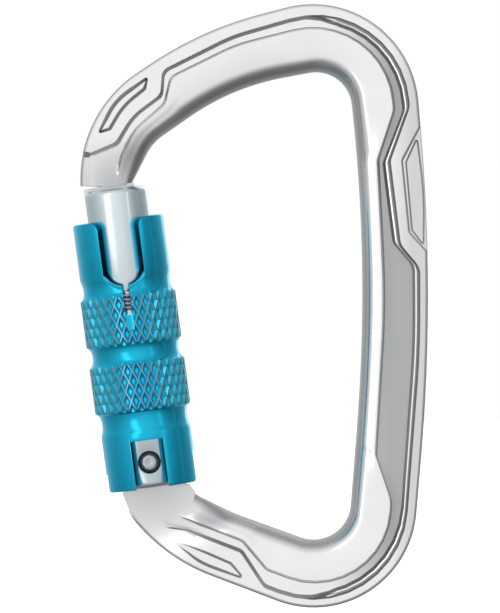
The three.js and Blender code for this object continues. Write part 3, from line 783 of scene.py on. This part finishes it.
def half_section(width, crown_edge, rim_edge, rail, rim, floor, wall, ledge, dome, runout):
    """(distance from the inner edge, half thickness) from the inner edge to the outer edge.

    The rim sinks into the web over the last runout before its edge meets the outline.
    """
    crown_edge = max(1.2, min(crown_edge, width - 2.6))
    rim_top = min(rim_edge, width - 0.7)
    floor_start = crown_edge + 0.5
    floor_end = max(rim_top - wall, floor_start + 0.25)
    rim_top = max(rim_top, floor_end + 0.3)
    share = smoothstep(width - rim_edge, 0, runout)
    rim = mix(floor, rim, share)
    rolled = min(2.75, 0.62 * crown_edge)
    points = []
    for i in range(13):
        angle = math.radians(88 * i / 12)
        points.append((rolled * (1 - math.cos(angle)), 0.94 * rail * math.sin(angle)))
    for i in range(1, 8):
        t = i / 8
        points.append((mix(rolled, crown_edge, t), rail * (0.94 + 0.06 * (1 - (1 - t) ** 2))))
    points += [
        (crown_edge - 0.1, rail),
        (crown_edge, mix(rail, floor, 0.04)),
        (crown_edge + 0.08, mix(rail, floor, 0.14)),
        (crown_edge + 0.36, mix(rail, floor, 0.9)),
        (floor_start, floor),
    ]
    for i in range(1, 6):
        t = i / 6
        points.append((mix(floor_start, floor_end, t), floor + dome * 4 * t * (1 - t)))
    points += [(mix(floor_end, rim_top, x), mix(floor, rim, y)) for x, y in wall_profile(ledge)]
    edge = width - 0.55
    points += [(mix(rim_top, edge, i / 6), rim) for i in range(1, 7)]
    points += [
        (width - 0.3, rim - 0.12),
        (width - 0.1, rim - 0.42),
        (width - 0.02, 0.62 * rim),
        (width, 0.3 * rim),
    ]
    return points


def body_rings(sizes):
    """The body's sections from the nose round to the hinge, each a ring between the two edges."""
    outer, outer_knots = rounded(OUTER_EDGE, steps=24)
    inner, inner_knots = rounded(INNER_EDGE, steps=24)
    crown_path, _ = rounded(CROWN_EDGE)
    rim_path, _ = rounded(RIM_EDGE)
    outer_lengths = lengths_along(outer)
    inner_lengths = lengths_along(inner)
    rings = []
    last = [0.5, 0.8]
    for k in range(len(outer_knots) - 1):
        spans = [
            (lengths[knots[k]], lengths[knots[k + 1]])
            for lengths, knots in ((inner_lengths, inner_knots), (outer_lengths, outer_knots))
        ]
        longest = max(high - low for low, high in spans)
        station = sizes.station / MM * (0.5 if k == 0 else 1)
        steps = max(2, round(longest / station))
        for i in range(steps + (k == len(outer_knots) - 2)):
            a = point_at(inner, inner_lengths, mix(*spans[0], i / steps))
            b = point_at(outer, outer_lengths, mix(*spans[1], i / steps))
            width = (b - a).length
            crown_share = crossing(a, b, crown_path)
            rim_share = crossing(a, b, rim_path)
            if crown_share is None:
                crown_share = last[0]
            if rim_share is None:
                rim_share = 1.0 if k < 2 else last[1]
            last = [crown_share, rim_share]
            hinge, nose = end_fade(a.lerp(b, 0.5))
            at_hinge = k > 4
            grown = nose if k < 2 else hinge if at_hinge else 1
            spine = smoothstep(a.lerp(b, 0.5).x, -3, 3)
            half = half_section(
                width, crown_share * width, rim_share * width,
                rail=mix(END_Y, sizes.rail / MM, grown),
                rim=mix(END_Y, sizes.rim / MM, grown if at_hinge else 1),
                floor=mix(END_Y, sizes.web / MM, grown if at_hinge else 1),
                wall=mix(0.65, 1.4, spine),
                ledge=spine,
                dome=0.16 * (1 - grown),
                runout=1.4 if k < 2 else 0.9,
            )
            loop = [(d, -y) for d, y in half] + [(width, 0)]
            loop += [(d, y) for d, y in reversed(half[1:])]
            spots = [(a.lerp(b, d / width), y) for d, y in loop]
            rings.append([(spot.x, y, spot.y) for spot, y in spots])
    return rings


def nose_slab(name, low, high, y):
    """A slab of the nose's key between two radii round the rivet, from the flat to the key's side."""
    def swept(radius, across):
        return 90 - math.degrees(math.asin(across / radius))

    side = NOSE_SIDE - RUN - 0.5
    outline = arc(0, 0, low, swept(low, -GATE_FLAT), swept(low, side), 10)
    outline += arc(0, 0, high, swept(high, side), swept(high, -GATE_FLAT), 10)
    return in_gate_frame(prism(name, outline, -y, y))


def hinge_blade():
    """The blade that the gate's slot holds, with the cam that the gate pin rides on as it opens."""
    reach = HINGE_ROOT + 1.5
    outline = arc(0, 0, BLADE_R, 180, 90, 18)
    outline += arc(0, 0, lambda t: BLADE_R + CAM_RISE * t, 90, 90 - GATE_OPEN, 12)[1:]
    outline += arc(0, 0, BLADE_R + CAM_RISE, 90 - GATE_OPEN, -15, 18)[1:]
    outline += [
        (SKIRT_BORE - 0.7, 0.2 - SLEEVE_SKIRT),
        (SKIRT_BORE - 0.6, -SLEEVE_SKIRT - 0.2),
        (SKIRT_BORE + 0.25, -SLEEVE_SKIRT - 0.5),
        (SKIRT_R - 0.7, -SLEEVE_SKIRT - 1.9),
        (0.55 * reach, -0.83 * reach),
        (-3, -0.96 * reach),
        (1.5 - SKIRT_BORE, -SLEEVE_SKIRT - 3.9),
        (0.6 - SKIRT_BORE, -SLEEVE_SKIRT - 0.4),
        (1.1 - SKIRT_BORE, 0.6 - SLEEVE_SKIRT),
    ]
    return in_gate_frame(prism("blade", outline, -BLADE_Y, BLADE_Y))


def offset(path, amount):
    """A closed outline moved outwards by an amount, or inwards by up to two fifths of its width there."""
    count = len(path)
    area = sum(path[i - 1].cross(path[i]) for i in range(count))
    moved = []
    for i in range(count):
        along = (path[(i + 1) % count] - path[i - 1]).normalized()
        out = Vector((along.y, -along.x)) * (1 if area > 0 else -1)
        reach = amount
        if amount < 0:
            sides = path[i + 2:] + path[:max(i - 1, 0)]
            far = crossing(path[i] - out * 0.01, path[i] - out * 20, sides)
            reach = -min(-amount, 0.4 * 20 * far if far else 0.05)
        moved.append(path[i] + out * reach)
    return moved


def pocket(corners, top, depth, lean, side):
    """A cutter for a shallow pocket with leaning walls and a broken edge. side is -1 in front, 1 behind."""
    path, _ = rounded(corners, closed=True, steps=6)
    levels = [(top + 1, 0.1), (top, 0.1), (top - 0.1, 0), (top - depth, -lean)]
    rings = [[(p.x, side * y, p.y) for p in offset(path, grow)] for y, grow in levels]
    return skinned("pocket", rings)


class CARABINER_OT_body(bpy.types.Operator):
    """Builds the forged body with its rail, channel, rim, pockets, nose and hinge blade"""

    bl_idname = "carabiner.body"
    bl_label = "Body"

    def execute(self, context):
        sizes = context.scene.carabiner_body
        body = skinned("body", body_rings(sizes))
        reach = 4 * sizes.rail / MM
        swing = in_gate_frame(bar("swing", NOSE_ROOT, -reach, reach, "Y", 720))
        gate_side = block("side", (-GATE_R - 6, GATE_R + 9), (-9, 9), (GATE_TOP / 2, NOSE_ROOT + 1))
        combined(swing, "INTERSECT", in_gate_frame(gate_side))
        combined(body, "DIFFERENCE", swing)
        root = in_gate_frame(bar("root", HINGE_ROOT, -reach, reach, "Y", 180))
        combined(body, "DIFFERENCE", root)
        combined(
            body, "UNION",
            nose_slab("head", NOSE_TIP, NOSE_HEAD, HEAD_Y),
            nose_slab("neck", NOSE_TIP + 0.5, NOSE_ROOT + 0.3, NECK_Y),
            hinge_blade(),
        )
        rim = sizes.rim / MM
        depth = sizes.pocket / MM
        step = 0.3
        for side in (-1, 1):
            combined(
                body, "DIFFERENCE",
                pocket(LENS_TOP, rim, 0.85 * depth, 0.55, side),
                pocket(LENS_BASE, rim, 0.7 * depth, 0.4, side),
                pocket(SPINE_STEP, rim, step, 0.25, side),
                pocket(SPINE_POCKET, rim - step, 0.35, 0.2, side),
            )
        bore = in_gate_frame(bar("bore", RIVET_R + RUN, -reach, reach, "Y"))
        combined(body, "DIFFERENCE", bore)
        shaded(body, 24)
        placed(body, "carabiner_body", "frame", polished_aluminium(), "polished_aluminium",
               "frame_body")
        return {"FINISHED"}


# ---- gate ----

class CARABINER_OT_gate(bpy.types.Operator):
    """Builds the gate bar with its slots, bores and flat"""

    bl_idname = "carabiner.gate"
    bl_label = "Gate"

    def execute(self, context):
        foot = 0.9
        crown = 1.1
        profile = [(0, -GATE_FOOT)]
        profile += arc(GATE_R - foot, foot - GATE_FOOT, foot, -90, 0, 8)
        profile += arc(GATE_R - crown, GATE_TOP - crown, crown, 0, 90, 10)
        profile += [(0, GATE_TOP)]
        gate = turned("gate", profile, 160)
        wide = GATE_R + 1
        head_y = HEAD_Y + RUN
        neck_y = NECK_Y + RUN
        blade_y = BLADE_Y + RUN
        sink = [(0, GATE_R - 1.5), (1.4, GATE_R - 1.5), (1.9, GATE_R - 0.6), (1.9, wide), (0, wide)]
        recess = [turned("recess", [(r, side * y) for r, y in sink], 48, "Y") for side in (-1, 1)]
        combined(
            gate, "DIFFERENCE",
            block("slot", (-wide, wide), (-blade_y, blade_y), (-wide, BLADE_R + CAM_RISE + 0.45)),
            block("head", (-wide, NOSE_SIDE), (-head_y, head_y), (NOSE_TIP - RUN - 0.5, NOSE_HEAD + RUN)),
            block("neck", (-wide, NOSE_SIDE), (-neck_y, neck_y), (NOSE_TIP, GATE_TOP + 2)),
            block("flat", (-wide, -GATE_FLAT), (-wide, wide), (NOSE_TIP - 2, GATE_TOP + 1)),
            *recess,
        )
        room = RETURN_WIRE / 2 + 0.15
        combined(
            gate, "DIFFERENCE",
            bar("pin", RIVET_R + 0.05, -wide, wide, "Y"),
            bar("plunger", PLUNGER_BORE, 0, PLUNGER_SEAT),
            groove("coils", 4.6, wide, RETURN_LOW - room, RETURN_HIGH + room),
            groove("ring", 5, wide, *RING_GROOVE),
            block("notch", (-wide, -4.35), (-0.9, 0.9), (23.7, RETURN_LOW)),
            bar("guide", GUIDE_PIN_R + 0.05, 2.95, wide, "Y", z=GUIDE_PIN_Z),
        )
        softened(gate, 0.14)
        in_gate_frame(shaded(gate, 38))
        placed(gate, "gate_bar", "gate", satin_aluminium(), "satin_aluminium", "gate")
        return {"FINISHED"}


# ---- sleeve ----

def band_profile(low, high):
    """One knurled band, with its broken corners."""
    return [
        (KNURL_R - 0.3, low),
        (KNURL_R - 0.06, low + 0.2),
        (KNURL_R, low + 0.35),
        (KNURL_R, high - 0.35),
        (KNURL_R - 0.06, high - 0.2),
        (KNURL_R - 0.3, high),
    ]


def hollow(low, high, mouth, depth, steps=10):
    """A concave neck between two heights, from radius mouth down by depth."""
    return [
        (mouth - depth * math.sin(math.pi * i / steps) ** 0.7, mix(low, high, i / steps))
        for i in range(steps + 1)
    ]


def sleeve_profile():
    """The sleeve's section: down the bore from the prongs, then up the outside."""
    inside = [
        (SLEEVE_BORE, PRONG_TIP),
        (SLEEVE_BORE, SHOULDER),
        (SKIRT_BORE, SHOULDER),
        (SKIRT_BORE, 0.2 - SLEEVE_SKIRT),
        (SKIRT_BORE + 0.2, -SLEEVE_SKIRT),
    ]
    outside = [
        (SKIRT_R - 0.35, -SLEEVE_SKIRT),
        (SKIRT_R - 0.1, 0.12 - SLEEVE_SKIRT),
        (SKIRT_R, 0.4 - SLEEVE_SKIRT),
        (SKIRT_R, 4.9),
        (SKIRT_R - 0.06, 5.2),
    ]
    outside += hollow(5.4, LOW_KNURL[0] - 0.25, NECK_R + 0.2, 0.25)
    outside += band_profile(*LOW_KNURL)
    outside += hollow(LOW_KNURL[1] + 0.3, HIGH_KNURL[0] - 0.3, WAIST_R + 0.25, 0.28)
    outside += band_profile(*HIGH_KNURL)
    outside += hollow(HIGH_KNURL[1] + 0.3, PRONG_ROOT - 0.4, WAIST_R + 0.25, 0.25)
    outside += [
        (PRONG_R - 0.1, PRONG_ROOT - 0.15),
        (PRONG_R, PRONG_ROOT + 0.1),
        (PRONG_R, PRONG_TIP - 0.35),
        (PRONG_R - 0.1, PRONG_TIP - 0.1),
        (PRONG_R - 0.35, PRONG_TIP),
    ]
    return inside + outside


def window_cutter(side):
    """The window between the prongs, whose foot slopes down outwards. side is -1 in front, 1 behind."""
    flare = WINDOW_FLARE
    w = WINDOW_HALF
    rings = []
    for y, foot in ((0, WINDOW_FLOOR), (4.9, WINDOW_FLOOR), (8.6, WINDOW_FLOOR - 2.9)):
        outline = [(x, foot + WINDOW_SQUASH * (z - foot)) for x, z in arc(0, foot + w, w, 180, 360, 24)]
        outline += arc(w + flare, PRONG_TIP - flare, flare, 180, 90, 8)
        outline += [(w + flare, PRONG_TIP + 1), (-w - flare, PRONG_TIP + 1)]
        outline += arc(-w - flare, PRONG_TIP - flare, flare, 90, 0, 8)
        rings.append([(x, side * y, z) for x, z in outline])
    return skinned("window", rings)


class CARABINER_OT_sleeve(bpy.types.Operator):
    """Builds the locking sleeve, and presses the diamond knurl into its two bands"""

    bl_idname = "carabiner.sleeve"
    bl_label = "Locking sleeve"

    def execute(self, context):
        sizes = context.scene.carabiner_sleeve
        material = anodised_aluminium()
        sleeve = lathe("sleeve", sleeve_profile(), 192)
        far = KNURL_R + 1
        low = -SLEEVE_SKIRT - 1
        slit = (-SLIT_HALF, SLIT_HALF)
        combined(
            sleeve, "DIFFERENCE",
            window_cutter(-1),
            window_cutter(1),
            block("slit", slit, (-far, -4), (SLIT_FLOOR, WINDOW_FLOOR + 1)),
            block("slit_foot", slit, (-far, -SLEEVE_BORE - 0.6), (SLIT_FOOT, SLIT_FLOOR + 0.1)),
            block("rivet_slot", (-2.7, 2.7), (-far, far), (low, 3.7)),
            block("outer_notch", (-far, 0), (-1.9, 1.9), (low, 3 - SLEEVE_SKIRT)),
            block("inner_notch", (0, far), (-2.1, 2.1), (low, 5.1 - SLEEVE_SKIRT)),
            self.pin_track(),
        )
        softened(sleeve, 0.16, angle=40)
        tree, names = knurl_tree(material)
        pitch = sizes.pitch
        for start, end in (LOW_KNURL, HIGH_KNURL):
            rows = math.ceil((end - start) * MM / pitch * 2) + 1
            pits = grown_from("pits", tree, names, {
                "Radius": KNURL_R * MM, "Columns": sizes.columns, "Rows": rows,
                "Low": start * MM, "Pitch": pitch, "Depth": sizes.depth, "Crest": sizes.crest,
            })
            combined(sleeve, "DIFFERENCE", outward(pits))
        bpy.data.node_groups.remove(tree)
        in_gate_frame(shaded(sleeve, 30))
        placed(sleeve, "twist_sleeve", "sleeve", material, "anodised_aluminium", "locking_sleeve")
        return {"FINISHED"}

    @staticmethod
    def pin_track():
        """The space for the guide pin, open over the sleeve's lift and quarter turn."""
        floor, margin = 7, 10
        outline = arc(0, 0, floor, 90 - margin, 180 + margin, 30)
        outline += arc(0, 0, SLEEVE_BORE - RUN, 180 + margin, 90 - margin, 30)
        room = GUIDE_PIN_R + RUN
        heights = (GUIDE_PIN_Z - SLEEVE_LIFT - room, GUIDE_PIN_Z + room)
        return skinned("track", [[(x, y, z) for x, y in outline] for z in heights])


# ---- small pieces ----

def coil(name, tree, names, radius, wire, low, high, turns, start=0.0):
    return grown_from(name, tree, names, {
        "Radius": radius * MM, "Wire": wire * MM, "Low": low * MM,
        "Height": (high - low) * MM, "Turns": turns, "Start": math.radians(start),
    })


def joined(made, other):
    """Adds another mesh to the object's own, as a shell beside it."""
    corners = [v.co / MM for v in made.data.vertices] + [v.co / MM for v in other.data.vertices]
    shift = len(made.data.vertices)
    faces = [tuple(p.vertices) for p in made.data.polygons]
    faces += [tuple(i + shift for i in p.vertices) for p in other.data.polygons]
    both = solid(made.name, corners, faces)
    made.data = both.data
    bpy.data.objects.remove(both)
    bpy.data.objects.remove(other)
    return made


class CARABINER_OT_springs(bpy.types.Operator):
    """Winds the three springs"""

    bl_idname = "carabiner.springs"
    bl_label = "Springs"

    def execute(self, context):
        steel = spring_steel()
        tree, names = coil_tree(steel)
        lift = outward(coil("lift", tree, names, **LIFT_SPRING))
        in_gate_frame(shaded(lift, 40))
        placed(lift, "lift_coil", "gate", steel, "spring_steel", "lift_spring")
        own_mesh(lift)
        closing = outward(coil("closing", tree, names, **GATE_SPRING))
        in_gate_frame(shaded(closing, 40))
        placed(closing, "closing_coil", "gate", steel, "spring_steel", "gate_spring")
        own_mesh(closing)
        turning = coil("turning", tree, names, **RETURN_SPRING)
        leg = bar("leg", RETURN_WIRE / 2, -7.3, -4.9, "Y", 20, z=RETURN_HIGH)
        leg.data.transform(Matrix.Translation((0.2 * MM, 0, 0)))
        softened(leg, 0.05)
        joined(turning, leg)
        in_gate_frame(shaded(turning, 40))
        placed(turning, "return_coil", "return_spring", steel, "spring_steel", "return_spring")
        bpy.data.node_groups.remove(tree)
        return {"FINISHED"}


class CARABINER_OT_rivet(bpy.types.Operator):
    """Builds the peened rivet"""

    bl_idname = "carabiner.rivet"
    bl_label = "Rivet"

    def execute(self, context):
        end = GATE_R - 0.25
        head = GATE_R - 1.45
        edge = RIVET_R + 0.1
        half = [(RIVET_R, head), (edge, head), (edge, end - 0.32), (edge - 0.11, end - 0.12)]
        half += [(edge - 0.3, end - 0.02), (0.8, end), (0.5, end - 0.05), (0.2, end - 0.08)]
        profile = [(0, -end)] + [(r, -y) for r, y in reversed(half)] + half + [(0, end)]
        rivet_body = turned("rivet", profile, 64, "Y")
        in_gate_frame(shaded(rivet_body, 45))
        placed(rivet_body, "peened_rivet", "gate", peened_steel(), "rivet_steel", "gate_rivet")
        return {"FINISHED"}


class CARABINER_OT_fittings(bpy.types.Operator):
    """Gives the pieces inside the gate and the sleeve their steel finish"""

    bl_idname = "carabiner.fittings"
    bl_label = "Inner fittings"

    def execute(self, context):
        steel = spring_steel()
        for name in ("gate_plunger", "guide_pin", "snap_ring", "thrust_washer"):
            node = frame["nodes"][name]
            node.data.materials.clear()
            node.data.materials.append(steel)
        return {"FINISHED"}


# ---- studio ----

def soft_box(name, place, aim, size, level):
    """A white soft box whose face has that brightness, where 1 is white."""
    lamp = bpy.data.lights.new(name, "AREA")
    lamp.shape = "RECTANGLE"
    lamp.size, lamp.size_y = size
    lamp.energy = level * math.pi * size[0] * size[1]
    made = bpy.data.objects.new(name, lamp)
    made.location = place
    made.rotation_euler = (aim - place).to_track_quat("-Z", "Y").to_euler()
    made.visible_camera = False
    bpy.context.scene.collection.objects.link(made)


def studio_world():
    """A white room: bright in front, behind and at the upper left, dimmer at the sides and below."""
    world = bpy.data.worlds.new("studio")
    bpy.context.scene.world = world
    world.use_nodes = True
    tree = world.node_tree
    tree.nodes.clear()
    way = add_node(tree, "ShaderNodeTexCoord").outputs["Generated"]
    squared = vector(tree, "MULTIPLY", way, way)
    ahead = vector(tree, "DOT_PRODUCT", squared, (0, 0.67, 0), 1)
    slant = vector(tree, "DOT_PRODUCT", way, (-0.17, -0.08, 0.3), 1)
    facing = calc(tree, "ADD", ahead, slant)
    room = add_node(tree, "ShaderNodeBackground", {
        "Color": linear("#FDFEFF"), "Strength": ramp(tree, facing, -0.35, 0.75, 0.14, 0.97),
    })
    paper = add_node(tree, "ShaderNodeBackground", {"Color": (1, 1, 1, 1), "Strength": 1.0})
    seen = add_node(tree, "ShaderNodeLightPath").outputs["Is Camera Ray"]
    both = add_node(tree, "ShaderNodeMixShader", {0: seen, 1: room.outputs[0], 2: paper.outputs[0]})
    add_node(tree, "ShaderNodeOutputWorld", {"Surface": both.outputs[0]})


class CARABINER_OT_stage(bpy.types.Operator):
    """Sets the pale floor, the soft lights and the camera"""

    bl_idname = "carabiner.stage"
    bl_label = "Stage"

    def execute(self, context):
        scene = context.scene
        scene.view_settings.view_transform = "Standard"
        low, high = CAD_BOX
        reach = FLOOR_REACH / MM
        corners = [(-reach, -reach), (reach, -reach), (reach, reach), (-reach, reach)]
        floor_z = (low.z - FLOOR_DROP) / MM
        floor = solid("floor", [(x, y, floor_z) for x, y in corners], [(0, 1, 2, 3)])
        floor.data.materials.append(pale_floor())
        floor.visible_glossy = False
        studio_world()
        middle = (low + high) / 2
        for name, (place, size, level) in SOFT_BOXES.items():
            soft_box(name, middle + Vector(place), middle, size, level)
        self.camera(scene)
        return {"FINISHED"}

    @staticmethod
    def camera(scene):
        """A long lens looking straight at the front."""
        lens = bpy.data.cameras.new("camera")
        lens.lens = LENS
        away = VIEW_WIDTH * lens.lens / lens.sensor_width
        made = bpy.data.objects.new("camera", lens)
        made.location = (VIEW_MIDDLE[0], -away, VIEW_MIDDLE[1])
        made.rotation_euler = (math.pi / 2, 0, 0)
        scene.collection.objects.link(made)
        scene.camera = made


class CARABINER_PT_panel(bpy.types.Panel):
    """Lists the steps that build the carabiner"""

    bl_label = "Carabiner"
    bl_idname = "CARABINER_PT_panel"
    bl_space_type = "VIEW_3D"
    bl_region_type = "UI"
    bl_category = "Carabiner"

    def draw(self, context):
        for group in ("carabiner_body", "carabiner_sleeve", "carabiner_finishes"):
            held = getattr(context.scene, group)
            box = self.layout.box()
            for name in type(held).__annotations__:
                box.prop(held, name)
        for step in STEPS:
            self.layout.operator(step.bl_idname)


STEPS = (
    CARABINER_OT_stage,
    CARABINER_OT_body,
    CARABINER_OT_gate,
    CARABINER_OT_sleeve,
    CARABINER_OT_springs,
    CARABINER_OT_rivet,
    CARABINER_OT_fittings,
)
GROUPS = {
    "carabiner_body": BodySizes,
    "carabiner_sleeve": SleeveSizes,
    "carabiner_finishes": Finishes,
}


def register():
    for kind in (*GROUPS.values(), *STEPS, CARABINER_PT_panel):
        bpy.utils.register_class(kind)
    for name, group in GROUPS.items():
        setattr(bpy.types.Scene, name, bpy.props.PointerProperty(type=group))


def unregister():
    for name in GROUPS:
        delattr(bpy.types.Scene, name)
    for kind in reversed((*GROUPS.values(), *STEPS, CARABINER_PT_panel)):
        bpy.utils.unregister_class(kind)


def main():
    register()
    for step in STEPS:
        group, name = step.bl_idname.split(".")
        getattr(getattr(bpy.ops, group), name)()


if __name__ == "__main__":
    main()
